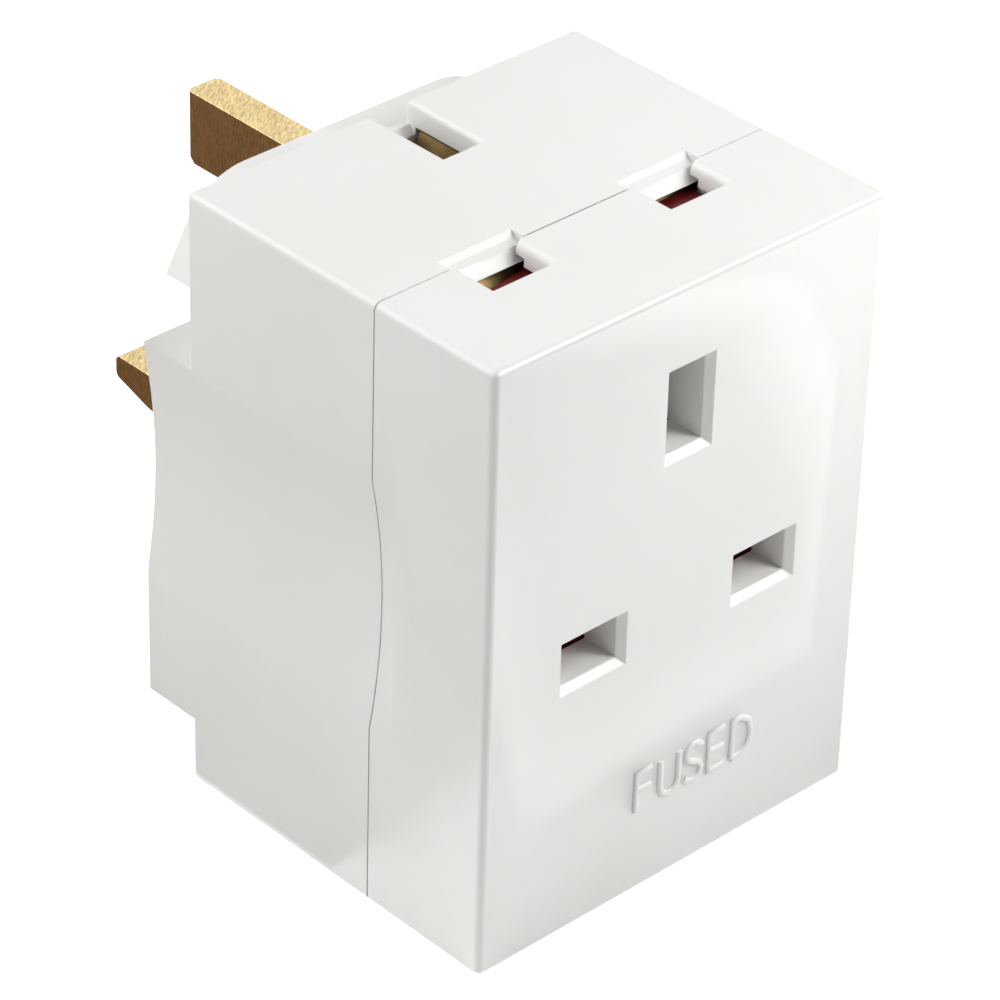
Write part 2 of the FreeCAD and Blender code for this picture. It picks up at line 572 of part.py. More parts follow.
def flat_pin(label, side):
    body = new_body(label, x=f"{side}half_pitch")
    low, high = "plug_row - flat_pin_thick / 2", "plug_row + flat_pin_thick / 2"
    root = "plug_face + sleeve_reach"
    tip = "plug_face + flat_pin_reach"
    add(body, "shank", "XZ", "bar_back", f"{root} - bar_back",
        centred("0", "plug_row", "flat_pin_width / 2 - sleeve_thick", "flat_pin_thick / 2 - sleeve_thick"))
    add(body, "blade", "YZ", "0", "flat_pin_width",
        poly((root, low), (f"{tip} - flat_nose_run", low),
             (f"{tip} - nose_chamfer / 2", f"{low} + flat_nose_rise"),
             (tip, f"{low} + flat_nose_rise + nose_chamfer"), (tip, f"{high} - nose_chamfer"),
             (f"{tip} - nose_chamfer", high), (root, high)),
        middle=True)
    end = size("plug_face") + size("flat_pin_reach")
    dress(body, "Chamfer", "nose", "nose_chamfer / 2", lambda box: along(box, "Z") and near(box.YMin, end))
    return body


def pin_sleeve(label, side):
    body = new_body(label, x=f"{side}half_pitch")
    add(body, "tube", "XZ", "bar_back", "plug_face + sleeve_reach - bar_back",
        centred("0", "plug_row", "flat_pin_width / 2", "flat_pin_thick / 2"),
        centred("0", "plug_row", "flat_pin_width / 2 - sleeve_thick", "flat_pin_thick / 2 - sleeve_thick"))
    return body


# Contacts: a folded strip whose jaws close on the pin and flare at the mouth
def jaw_points(depth, mouth, foot):
    """Right outer edge, then right inner edge, of the folded strip, from foot to mouth and back."""
    top = f"({depth} - {mouth})"
    pinch = f"{top} - flare_run"
    outer = [("jaw_half + clip", foot), ("jaw_half + clip", "straight_run"), ("pinch_half + clip", pinch),
             ("flare_half + clip", top)]
    inner = [("flare_half", top), ("pinch_half", pinch), ("jaw_half", "straight_run"), ("jaw_half", "clip")]
    return outer, inner


def strip_outline(depth, mouth, tail=None):
    """Whole section of a contact. A tail leaves the foot and turns down to meet a busbar."""
    outer, inner = jaw_points(depth, mouth, "0")
    right = outer + inner
    left = [(f"-({x})", z) for x, z in reversed(right)]
    if tail:
        foot = [(f"{tail} - clip", "0"), (f"{tail} - clip", "-tab_drop"), (tail, "-tab_drop"),
                (tail, "clip"), ("jaw_half + clip", "clip")]
        right = foot + right[1:]
    return poly(*right, *left)


def flat_contact(label, side, socket):
    plane = "line_plane" if label.startswith("line") else "neutral_plane"
    if socket == "front":
        body = new_body(label, f"{side}half_pitch", plane, "front_row", ((1, 0, 0), 90))
        # the front contact stands on its busbar
        section = strip_outline(plane, "front_flat_mouth")
    else:
        height = "body_height - flat_contact_depth" if socket == "top" else "flat_contact_depth"
        turn = None if socket == "top" else ((0, 1, 0), 180)
        body = new_body(label, f"{side}half_pitch", "top_row", height, turn)
        section = strip_outline("flat_contact_depth", "flat_contact_mouth", f"({plane} - top_row)")
    add(body, "strip", "YZ", "0", "2 * flat_contact_half", section, middle=True)
    if socket != "front":
        mouth, end = "flat_contact_depth - flat_contact_mouth", "flat_contact_depth - guide_top"
        add(body, "guide_plate", "YZ", "0", "2 * guide_half",
            poly(("flare_half", f"{mouth} - clip"), ("flare_half + clip", f"{mouth} - clip"),
                 ("guide_reach + clip", end), ("guide_reach", end), ("flare_half", mouth)),
            middle=True)
    return body


def earth_contact(label, socket):
    if socket == "front":
        body = new_body(label, "0", "earth_contact_depth", "front_row + pin_rise", ((1, 0, 0), 90))
    elif socket == "top":
        body = new_body(label, "0", "earth_row", "body_height - earth_contact_depth")
    else:
        body = new_body(label, "0", "earth_row", "earth_contact_depth", ((0, 1, 0), 180))
    if socket == "front":
        add(body, "strip", "XZ", "0", "2 * earth_contact_half",
            strip_outline("earth_contact_depth", "front_earth_mouth"), middle=True)
        return body
    add(body, "strip", "XZ", "-earth_contact_front", "earth_contact_front + earth_contact_back",
        strip_outline("earth_contact_depth", "earth_contact_mouth"))
    add(body, "tail", "YZ", "0", "2 * tab_half",
        poly(("earth_contact_half", "0"), ("tail_plane - earth_row - clip", "0"),
             ("tail_plane - earth_row - clip", "-tab_drop"), ("tail_plane - earth_row", "-tab_drop"),
             ("tail_plane - earth_row", "clip"), ("earth_contact_half", "clip")),
        middle=True)
    return body


# Busbars: flat stampings with folded flanges
def fold_bends(body, front, back):
    """Round the outer corners where a flange leaves its stamping and where it turns in again."""
    side, ends = -size("flange_out"), (size(front), size(back))
    dress(body, "Fillet", "bends", "bar_thick",
          lambda box: along(box, "Z") and near(box.XMin, side) and any(near(box.YMin, end) for end in ends))


def neutral_busbar():
    body = new_body("neutral_busbar")
    top = "body_height - flat_contact_depth + clip"
    low_end = "flat_contact_depth - clip"
    cross_low, cross_high = "neutral_cross - cross_half", "neutral_cross + cross_half"
    ear_low, ear_high = "plug_row - flange_half", "plug_row + flange_half"
    far, near_side = "half_pitch + bar_half", "half_pitch - bar_half"
    add(body, "stamping", "XZ", "neutral_plane", "bar_thick",
        poly(("-flange_out", ear_low), ("-flange_out", ear_high), (f"-({far})", ear_high),
             (f"-({far})", top), (f"-({near_side})", top), (f"-({near_side})", cross_high),
             (far, cross_high), (far, low_end), (near_side, low_end), (near_side, cross_low),
             (f"-({far})", cross_low), (f"-({far})", ear_low)))
    add(body, "flange", "XY", ear_low, "2 * flange_half",
        poly(("-flange_out", "neutral_plane"), ("-flange_out + bar_thick", "neutral_plane"),
             ("-flange_out + bar_thick", "tail_plane"), (f"-({near_side})", "tail_plane"),
             (f"-({near_side})", "bar_back"), ("-flange_out", "bar_back")))
    fold_bends(body, "neutral_plane", "bar_back")
    return body


def line_busbar():
    body = new_body("line_busbar")
    top = "body_height - flat_contact_depth + clip"
    low_end = "flat_contact_depth - clip"
    cross_low, cross_high = "line_cross - cross_half", "line_cross + cross_half"
    far, near_side = "half_pitch + bar_half", "half_pitch - bar_half"
    add(body, "stamping", "XZ", "line_plane", "bar_thick",
        poly((far, top), (near_side, top), (near_side, cross_high), ("-flange_out", cross_high),
             ("-flange_out", cross_low), (far, cross_low)))
    # the crossing may stand below or above the tab of the bottom contact
    add(body, "stub", "XZ", "line_plane", "bar_thick",
        rect(f"-({far})", low_end, f"-({near_side})",
             f"max({low_end} + tab_drop; {cross_high})"))
    add(body, "flange", "XY", cross_low, "2 * cross_half",
        poly(("-flange_out", "line_plane"), ("-flange_out + bar_thick", "line_plane"),
             ("-flange_out + bar_thick", "tail_plane - bar_thick"),
             (f"-({far}) + bar_thick", "tail_plane - bar_thick"),
             (f"-({far}) + bar_thick", "tail_plane"), ("-flange_out", "tail_plane")))
    fold_bends(body, "line_plane", "tail_plane")
    return body


def earth_busbar():
    body = new_body("earth_busbar")
    add(body, "spine", "XZ", "tail_plane", "bar_thick",
        rect("-spine_half", "earth_contact_depth", "spine_half",
             "plug_row + pin_rise + earth_pin_height / 2"))
    leg = "earth_contact_depth"
    # the arm's leg stands on the foot of the front earth contact
    add(body, "arm", "YZ", "0", "2 * bar_half",
        poly((leg, "arm_height"), ("tail_plane", "arm_height"), ("tail_plane", "arm_height + bar_thick"),
             (f"{leg} + bar_thick", "arm_height + bar_thick"),
             (f"{leg} + bar_thick", "front_row + pin_rise + earth_contact_half"),
             (leg, "front_row + pin_rise + earth_contact_half")),
        middle=True)
    corner = size("earth_contact_depth")
    dress(body, "Fillet", "bend", "bar_thick",
          lambda box: along(box, "X") and near(box.YMin, corner) and near(box.ZMin, size("arm_height")))
    return body


# Fuse, its clips and its carrier
def fuse_clip(label, plate):
    """A plate behind the pins with two jaws that close on a fuse cap."""
    body = new_body(label)
    add(body, "plate", "XZ", "tail_plane", "bar_thick", plate)
    inner = "(fuse_radius + seat_play)"
    side = "" if label == "fuse_clip_line" else "-"
    start = "fuse_jaw_in" if side == "" else "-fuse_jaw_out"
    up, down = f"fuse_row + {inner}", f"fuse_row - {inner}"
    end = "bar_back + fuse_jaw_reach"
    add(body, "jaws", "YZ", start, "fuse_jaw_out - fuse_jaw_in",
        poly(("bar_back", up), (end, up), (f"{end} + clip", f"{up} + clip"), (end, f"{up} + clip"),
             ("bar_back", f"{up} + clip")),
        poly(("bar_back", down), (end, down), (f"{end} + clip", f"{down} - clip"), (end, f"{down} - clip"),
             ("bar_back", f"{down} - clip")))
    return body


def fuse_tube():
    body = new_body("fuse_tube")
    add(body, "tube", "YZ", "0", "2 * fuse_half - 2 * clip",
        disc("fuse_depth", "fuse_row", "fuse_tube_radius"), middle=True)
    return body


def fuse_cap(label, side):
    body = new_body(label)
    start = "fuse_half - cap_length" if side == "" else "-fuse_half"
    bore = "fuse_half - cap_length" if side == "" else "-fuse_half + clip"
    add(body, "cup", "YZ", start, "cap_length", disc("fuse_depth", "fuse_row", "fuse_radius"))
    cut(body, "hollow", "YZ", bore, "cap_length - clip", disc("fuse_depth", "fuse_row", "fuse_tube_radius"))
    end = size("fuse_half") if side == "" else -size("fuse_half")
    dress(body, "Chamfer", "rim", "clip / 2", lambda box: near(box.XMin, end) and near(box.XMax, end))
    return body


def fuse_carrier():
    body = new_body("fuse_carrier")
    outer = "(plug_face - carrier_sink)"
    inner = f"({outer} - carrier_plate)"
    add(body, "face_plate", "XZ", inner, "carrier_plate",
        centred("0", "fuse_row", "carrier_half", "carrier_rise"))
    add(body, "cradle", "XZ", "fuse_depth - cradle_wrap", f"{inner} - fuse_depth + cradle_wrap",
        centred("0", "fuse_row", "cradle_half", "cradle_rise"))
    cut(body, "fuse_seat", "YZ", "0", "2 * cradle_half",
        disc("fuse_depth", "fuse_row", "fuse_tube_radius + seat_play"), middle=True)
    cut(body, "pry_slot", "XZ", f"{outer} - pry_slot_sink", "pry_slot_sink",
        centred("0", "fuse_row", "pry_slot_half", "pry_slot_rise"))
    end = size("plug_face") - size("carrier_sink")
    half, rise = size("carrier_half"), size("carrier_rise")
    middle = size("fuse_row")
    dress(body, "Fillet", "face_edges", "carrier_play",
          lambda box: near(box.YMin, end) and near(box.YMax, end)
          and (near(abs(box.Center.x), half) or near(abs(box.Center.z - middle), rise)))
    return body


# Shutters: a blade over both flat slots, an arm and a ramp that the earth pin pushes
def shutter(label, socket):
    """Drawn for the top socket, with its own origin on the socket's face at the row of flat slots."""
    if socket == "front":
        body = new_body(label, "0", "0", "front_row", ((1, 0, 0), 90))
    elif socket == "top":
        body = new_body(label, "0", "top_row", "body_height")
    else:
        body = new_body(label, "0", "top_row", "0", ((0, 1, 0), 180))
    sink = "front_shutter_sink" if socket == "front" else "shutter_sink"
    low = f"-{sink} - shutter_thick"
    arm_end = "ramp_start - arm_end_gap"
    add(body, "blade", "XY", low, "shutter_thick",
        poly(("-blade_half", "-blade_front"), ("blade_half", "-blade_front"), ("blade_half", "blade_back"),
             ("arm_half", "blade_back"), ("arm_half", arm_end), ("-arm_half", arm_end),
             ("-arm_half", "blade_back"), ("-blade_half", "blade_back - blade_slant")))
    half, arm = size("blade_half"), size("arm_half")
    dress(body, "Fillet", "corners", "blade_round",
          lambda box: along(box, "Z") and (near(abs(box.XMin), half) or near(abs(box.XMin), arm)))
    foot = f"{arm_end} - ramp_thick"
    add(body, "ramp", "YZ", "0", "2 * ramp_half",
        poly((foot, f"-{sink}"), (arm_end, f"-{sink}"), (f"{arm_end} + ramp_run", f"-{sink} - ramp_run"),
             (f"{foot} + ramp_run", f"-{sink} - ramp_run"), (foot, low)),
        middle=True)
    add(body, "spring_peg", "XZ", "-blade_front", "peg_depth",
        rect("-arm_half / 2", f"-{sink} - spring_drop - spring_half", "arm_half / 2", f"-{sink}"))
    return body


def shutter_spring(label, socket):
    """A folded strip spring between the housing and the blade's edge, drawn along Z."""
    if socket == "front":
        body = new_body(label, "0", "front_shutter_sink + spring_drop",
                        "front_row - blade_front - spring_space")
    elif socket == "top":
        body = new_body(label, "0", "flat_wall", "body_height - shutter_sink - spring_drop",
                        ((1, 0, 0), -90))
    else:
        body = new_body(label, "0", "flat_wall", "shutter_sink + spring_drop", ((1, 0, 0), -90))
    near_side, far_side = [], []
    for fold in range(SPRING_LEGS + 1):
        height = f"spring_space * {fold} / {SPRING_LEGS}"
        start = "spring_half - spring_strip" if fold % 2 else "-spring_half"
        near_side.append((start, height))
        far_side.insert(0, (f"{start} + spring_strip", height))
    add(body, "strip", "YZ", "0", "spring_width", poly(*near_side, *far_side), middle=True)
    return body


# Case screw, drawn along Y with its origin under its head
def case_screw(label, side, row, seat):
    body = new_body(label, f"{side}screw_offset", seat, row)
    tip = "cover_depth - screw_bite"
    shoulder = f"(cover_depth - ({seat}))"
    sketch = new_sketch(body, "half_section", "YZ", "0", [poly(
        (f"{tip} - ({seat})", "0"), (f"{tip} - ({seat})", "core_radius / 2"),
        (f"{tip} - ({seat}) + tip_length", "core_radius"),
        (shoulder, "core_radius"), (shoulder, "shank_radius"), ("0", "shank_radius"), ("0", "head_radius"),
        ("head_rim", "head_radius"), ("head_height", "head_flat"), ("head_height", "0"))])
    turned = body.newObject("PartDesign::Revolution", "turned")
    turned.Profile = sketch
    turned.ReferenceAxis = (sketch, ["H_Axis"])
    turned.Angle = 360
    doc.recompute()
    cut(body, "cross_recess", "XZ", "head_height - cross_slot_sink", "cross_slot_sink",
        poly(("-cross_slot_reach", "-cross_slot"), ("-cross_slot", "-cross_slot"),
             ("-cross_slot", "-cross_slot_reach"), ("cross_slot", "-cross_slot_reach"),
             ("cross_slot", "-cross_slot"), ("cross_slot_reach", "-cross_slot"),
             ("cross_slot_reach", "cross_slot"), ("cross_slot", "cross_slot"),
             ("cross_slot", "cross_slot_reach"), ("-cross_slot", "cross_slot_reach"),
             ("-cross_slot", "cross_slot"), ("-cross_slot_reach", "cross_slot")))
    return body


def build():
    fill_sheet()
    front_cover()
    rear_body()
    earth_pin()
    flat_pin("line_pin", "")
    flat_pin("neutral_pin", "-")
    pin_sleeve("line_sleeve", "")
    pin_sleeve("neutral_sleeve", "-")
    neutral_busbar()
    line_busbar()
    earth_busbar()
    # seen from each socket's own front the line slot is on the right, so it changes sides below
    for socket, line_side, neutral_side in (("front", "", "-"), ("top", "", "-"), ("bottom", "-", "")):
        flat_contact(f"line_contact_{socket}", line_side, socket)
        flat_contact(f"neutral_contact_{socket}", neutral_side, socket)
        earth_contact(f"earth_contact_{socket}", socket)
        shutter(f"shutter_{socket}", socket)
        shutter_spring(f"shutter_spring_{socket}", socket)
    jaw_low = "fuse_row - fuse_radius - seat_play - clip"
    jaw_high = "fuse_row + fuse_radius + seat_play + clip"
    fuse_clip("fuse_clip_line", rect("fuse_jaw_in", jaw_low, "half_pitch + bar_half",
                                     "plug_row + flat_pin_thick / 2"))
    fuse_clip("fuse_clip_load", rect("-flange_out", jaw_low, "-fuse_jaw_in", jaw_high))
    fuse_tube()
    fuse_cap("fuse_cap_line", "")
    fuse_cap("fuse_cap_load", "-")
    fuse_carrier()
    low_seat, high_seat = "plug_face - head_sink", "body_depth - head_sink"
    for name, side in (("right", ""), ("left", "-")):
        case_screw(f"low_screw_{name}", side, "low_screw", low_seat)
        case_screw(f"high_screw_{name}", side, "high_screw", high_seat)


def check():
    """Stop if any object failed or any piece has no sound solid."""
    doc.recompute()
    for item in doc.Objects:
        if "Invalid" in item.State or "Error" in item.State:
            raise ValueError(f"{item.Label} failed: {item.State}")
    for body in bodies:
        if body.Shape.isNull() or not body.Shape.isValid() or body.Shape.Volume <= 0:
            raise ValueError(f"{body.Label} is not a sound solid")


def write():
    os.makedirs("parts", exist_ok=True)
    for body in bodies:
        body.Shape.exportStep(f"parts/{body.Label}.step")
        box = body.Shape.BoundBox
        print(f"{body.Label}: {len(body.Shape.Solids)} solid, {body.Shape.Volume:.1f} mm3, "
              f"X {box.XMin:.2f} {box.XMax:.2f}, Y {box.YMin:.2f} {box.YMax:.2f}, "
              f"Z {box.ZMin:.2f} {box.ZMax:.2f}")


build()
check()
write()
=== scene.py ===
# %% [markdown]
# # A three-way socket adaptor
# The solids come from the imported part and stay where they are. This script gives each of them
# the finish of the real one, softens the moulded edges, adds the raised word on the front and
# sets up the light and the camera.

# %% Load the part
import json
import math

import bmesh
import bpy
from mathutils import Euler, Matrix, Vector

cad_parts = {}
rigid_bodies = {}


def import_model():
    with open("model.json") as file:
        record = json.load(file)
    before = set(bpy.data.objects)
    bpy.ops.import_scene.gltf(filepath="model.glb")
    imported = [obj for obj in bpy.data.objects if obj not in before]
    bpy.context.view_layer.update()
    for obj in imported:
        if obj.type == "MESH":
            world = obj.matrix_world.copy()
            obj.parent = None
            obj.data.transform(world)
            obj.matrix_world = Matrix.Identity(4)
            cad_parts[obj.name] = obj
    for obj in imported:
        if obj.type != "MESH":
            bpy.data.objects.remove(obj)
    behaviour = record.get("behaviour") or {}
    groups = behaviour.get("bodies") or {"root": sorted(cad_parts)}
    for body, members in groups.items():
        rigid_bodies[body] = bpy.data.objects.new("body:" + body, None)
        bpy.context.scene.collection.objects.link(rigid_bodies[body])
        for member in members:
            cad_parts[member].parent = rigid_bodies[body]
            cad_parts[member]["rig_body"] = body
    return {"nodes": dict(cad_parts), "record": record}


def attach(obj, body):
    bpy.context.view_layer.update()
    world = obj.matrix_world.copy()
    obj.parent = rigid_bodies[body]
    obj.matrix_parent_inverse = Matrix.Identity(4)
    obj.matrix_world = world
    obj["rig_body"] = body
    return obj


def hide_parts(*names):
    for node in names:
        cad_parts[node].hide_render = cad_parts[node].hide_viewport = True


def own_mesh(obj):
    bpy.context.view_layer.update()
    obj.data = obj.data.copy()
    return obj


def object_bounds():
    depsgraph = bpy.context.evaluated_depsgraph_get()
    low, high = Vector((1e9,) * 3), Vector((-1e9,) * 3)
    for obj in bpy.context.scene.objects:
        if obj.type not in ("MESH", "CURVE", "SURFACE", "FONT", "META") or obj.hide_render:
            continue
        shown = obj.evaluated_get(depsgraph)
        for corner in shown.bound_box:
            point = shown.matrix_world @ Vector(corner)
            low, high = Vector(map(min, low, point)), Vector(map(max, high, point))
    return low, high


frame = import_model()
cad_box = [list(corner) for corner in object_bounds()]
print("nodes:", len(frame["nodes"]), "CAD box:", cad_box)

MM = 0.001
scene = bpy.context.scene

# %% [markdown]
# Colours are written as hex values, as a picker on a screen would show them. Blender works in
# linear light, so one function turns them. A second small function adds a shader node, sets its
# values and joins its inputs, so that each material reads as a short list.

# %% Colour and node helpers
def colour(code):
    """An sRGB hex value as a linear colour."""
    parts = [int(code[i:i + 2], 16) / 255 for i in (1, 3, 5)]
    return [p / 12.92 if p <= 0.04045 else ((p + 0.055) / 1.055) ** 2.4 for p in parts] + [1.0]


def add(tree, kind, settings=None, stops=(), **inputs):
    """Add a node. Settings are its own properties, stops the places and tones of a colour ramp,
    and inputs are values or sockets to join, by name or by number."""
    node = tree.nodes.new(kind)
    for name, value in (settings or {}).items():
        setattr(node, name, value)
    for place, (position, tone) in enumerate(stops):
        if place >= len(node.color_ramp.elements):
            node.color_ramp.elements.new(position)
        element = node.color_ramp.elements[place]
        element.position, element.color = position, tone
    for name, value in inputs.items():
        socket = node.inputs[int(name[1:])] if name[0] == "_" else node.inputs[name.replace("_", " ")]
        if isinstance(value, bpy.types.NodeSocket):
            tree.links.new(value, socket)
        else:
            socket.default_value = value
    return node


def new_material(name):
    """A material with one Principled shader. Returns it, its tree, its shader and the object coordinates."""
    made = bpy.data.materials.new(name)
    made.use_nodes = True
    tree = made.node_tree
    tree.nodes.clear()
    shader = add(tree, "ShaderNodeBsdfPrincipled")
    add(tree, "ShaderNodeOutputMaterial", Surface=shader.outputs["BSDF"])
    where = add(tree, "ShaderNodeTexCoord").outputs["Object"]
    return made, tree, shader, where


def grey(value):
    """A linear grey, from 0 to 1."""
    return (value, value, value, 1.0)


def per_mm(size):
    """Scale of a noise whose features are about this many millimetres across."""
    return 1.0 / (size * MM)


print("white in linear light:", colour("#ffffff"))

# %% [markdown]
# ## White mouldings
# The two halves of the housing are a glossy white thermoset, pressed in a polished steel mould.
# Such a surface is even in colour, with a faint warm drift where the resin flowed, and handling
# dulls it a little here and there. A fine grit, too small to see by itself, softens what it
# mirrors. Colour, roughness and a low bump take these three, each at its own size.

# %% Urea moulding, pressed and polished
FLOW_MM, HANDLED_MM, GRIT_MM = 24, 16, 0.25


def pressed_urea(name, tone, drift_tone, gloss):
    """gloss is the roughness of the places that nobody has touched."""
    made, tree, shader, where = new_material(name)
    drift = add(tree, "ShaderNodeTexNoise", Vector=where, Scale=per_mm(FLOW_MM), Detail=3.0, Roughness=0.55)
    shade = add(tree, "ShaderNodeValToRGB", stops=((0.35, colour(drift_tone)), (0.65, colour(tone))),
                Fac=drift.outputs["Fac"])
    tree.links.new(shade.outputs["Color"], shader.inputs["Base Color"])
    handling = add(tree, "ShaderNodeTexNoise", Vector=where, Scale=per_mm(HANDLED_MM), Detail=2.0,
                   Roughness=0.5)
    dull = add(tree, "ShaderNodeMapRange", Value=handling.outputs["Fac"], From_Min=0.3, From_Max=0.75,
               To_Min=gloss, To_Max=gloss + 0.05)
    tree.links.new(dull.outputs["Result"], shader.inputs["Roughness"])
    grit = add(tree, "ShaderNodeTexNoise", Vector=where, Scale=per_mm(GRIT_MM), Detail=1.0, Roughness=0.5)
    fine = add(tree, "ShaderNodeBump", Height=grit.outputs["Fac"], Strength=0.12, Distance=0.004 * MM)
    tree.links.new(fine.outputs["Normal"], shader.inputs["Normal"])
    shader.inputs["IOR"].default_value = 1.54
    shader.inputs["Subsurface Weight"].default_value = 0.12
    shader.inputs["Subsurface Radius"].default_value = (0.0007, 0.0006, 0.0005)
    shader.inputs["Subsurface Scale"].default_value = 1.0
    return made


housing_urea = pressed_urea("pressed_urea_white", "#ebebe9", "#e8e8e5", 0.29)
carrier_urea = pressed_urea("pressed_urea_carrier", "#e6e6e2", "#e0dfda", 0.34)
print("white mouldings:", housing_urea.name, carrier_urea.name)

# %% [markdown]
# ## Brass
# The pins are cut from drawn brass bar and tumbled: fine lines run along the bar, crossed by short
# random scratches, and the colour drifts from yellow to a browner film of oxide. The contacts and
# bars are stamped from rolled strip, with the same metal, a closer grain and a duller film. The
# contacts' colour is darker still: besides their film it holds painted shade, the dimness they
# have deep inside the slots.

# %% Drawn and rolled brass
LINE_STRETCH = 30
SCRATCH_LONG, SCRATCH_WIDE, SCRATCH_TURN = 0.9, 0.22, 0.66
CLOUD_MM = 2.6


def worked_brass(name, bright, film, along, line_mm, smooth, film_share, mark_depth):
    """along is the direction the metal was drawn or rolled in: 0, 1 or 2 for X, Y or Z. smooth is
    its lowest roughness, film_share how far the film hides it, mark_depth how deep scratches are."""
    made, tree, shader, where = new_material(name)
    stretch = [per_mm(line_mm)] * 3
    stretch[along] = per_mm(line_mm * LINE_STRETCH)
    run = add(tree, "ShaderNodeMapping", Vector=where, Scale=stretch)
    lines = add(tree, "ShaderNodeTexNoise", Vector=run.outputs["Vector"], Scale=1.0, Detail=3.0,
                Roughness=0.65)
    across = [SCRATCH_LONG * MM] * 3
    across[along] = SCRATCH_WIDE * MM
    cross = add(tree, "ShaderNodeMapping", {"vector_type": "TEXTURE"}, Vector=where, Scale=across,
                Rotation=(0.0, 0.0, SCRATCH_TURN))
    nicks = add(tree, "ShaderNodeTexNoise", Vector=cross.outputs["Vector"], Scale=1.0, Detail=3.0,
                Roughness=0.7)
    cloud = add(tree, "ShaderNodeTexNoise", Vector=where, Scale=per_mm(CLOUD_MM), Detail=5.0, Roughness=0.6)
    tarnish = add(tree, "ShaderNodeMapRange", Value=cloud.outputs["Fac"], From_Min=0.42, From_Max=0.72,
                  To_Min=0.0, To_Max=film_share)
    tone = add(tree, "ShaderNodeMix", {"data_type": "RGBA"}, Factor=tarnish.outputs["Result"],
               _6=colour(bright), _7=colour(film))
    groove = add(tree, "ShaderNodeValToRGB", stops=((0.36, grey(0.45)), (0.62, grey(1.0))),
                 Fac=nicks.outputs["Fac"])
    worn = add(tree, "ShaderNodeMix", {"data_type": "RGBA", "blend_type": "MULTIPLY"}, Factor=mark_depth,
               _6=tone.outputs[2], _7=groove.outputs["Color"])
    tree.links.new(worn.outputs[2], shader.inputs["Base Color"])
    shader.inputs["Metallic"].default_value = 1.0
    rough = add(tree, "ShaderNodeMapRange", Value=nicks.outputs["Fac"], From_Min=0.3, From_Max=0.7,
                To_Min=smooth + 0.12, To_Max=smooth)
    tree.links.new(rough.outputs["Result"], shader.inputs["Roughness"])
    grain = add(tree, "ShaderNodeBump", Height=lines.outputs["Fac"], Strength=0.25, Distance=0.010 * MM)
    scratch = add(tree, "ShaderNodeBump", Height=nicks.outputs["Fac"], Strength=mark_depth,
                  Distance=0.05 * MM, Normal=grain.outputs["Normal"])
    tree.links.new(scratch.outputs["Normal"], shader.inputs["Normal"])
    return made


pin_brass = worked_brass("drawn_brass_tumbled", "#fde4a8", "#c8924a", 1, 0.09, 0.29, 0.25, 0.75)
bar_brass = worked_brass("rolled_brass_bars", "#bd9c5c", "#7d6236", 2, 0.07, 0.32, 0.7, 0.2)
# the contacts' colour is a tarnished film plus painted shade, for the dimness deep in the slots
contact_brass_painted_shade = worked_brass("rolled_brass_contacts_painted_shade", "#a08a5e", "#665538", 2, 0.07, 0.34, 0.8, 0.2)
print("brass:", pin_brass.name, bar_brass.name, contact_brass_painted_shade.name)

# %% [markdown]
# ## Small parts
# The shutters are a dark red slippery plastic, moulded with a fine spark-eroded grain. The sleeves
# on the flat pins are black nylon, and the fuse has a fired ceramic tube. All three have a fine
# grain, and their colour drifts a little from place to place.

# %% Acetal, nylon and ceramic
PATCH_MM = 4


def grained_plastic(name, light, dark, grain_mm, rough, depth_mm):
    """A grained surface whose roughness stays near rough."""
    made, tree, shader, where = new_material(name)
    patch = add(tree, "ShaderNodeTexNoise", Vector=where, Scale=per_mm(PATCH_MM), Detail=3.0, Roughness=0.5)
    shade = add(tree, "ShaderNodeValToRGB", stops=((0.3, colour(dark)), (0.7, colour(light))),
                Fac=patch.outputs["Fac"])
    tree.links.new(shade.outputs["Color"], shader.inputs["Base Color"])
    grain = add(tree, "ShaderNodeTexVoronoi", Vector=where, Scale=per_mm(grain_mm))
    soft = add(tree, "ShaderNodeTexNoise", Vector=where, Scale=per_mm(grain_mm * 2), Detail=3.0)
    bump = add(tree, "ShaderNodeBump", Height=grain.outputs["Distance"], Strength=0.4,
               Distance=depth_mm * MM)
    tree.links.new(bump.outputs["Normal"], shader.inputs["Normal"])
    spread = add(tree, "ShaderNodeMapRange", Value=soft.outputs["Fac"], From_Min=0.3, From_Max=0.7,
                 To_Min=rough - 0.06, To_Max=rough + 0.06)
    tree.links.new(spread.outputs["Result"], shader.inputs["Roughness"])
    shader.inputs["IOR"].default_value = 1.48
    return made


red_acetal = grained_plastic("moulded_acetal_red", "#6e1412", "#560d0c", 0.18, 0.38, 0.006)
black_nylon = grained_plastic("moulded_nylon_black", "#1d1d1e", "#141415", 0.2, 0.42, 0.008)
fired_ceramic = grained_plastic("fired_ceramic_tube", "#ece6d6", "#ddd5c1", 0.12, 0.55, 0.006)
print("plastics:", red_acetal.name, black_nylon.name, fired_ceramic.name)

# %% [markdown]
# The case screws are steel with a zinc plating that has a faint yellow film, the caps of the fuse
# are brass plated with nickel, and the shutter springs are bright spring-steel strip.

# %% Plated and rolled metal
FILM_MM, RUBBED_MM = 1.6, 0.14


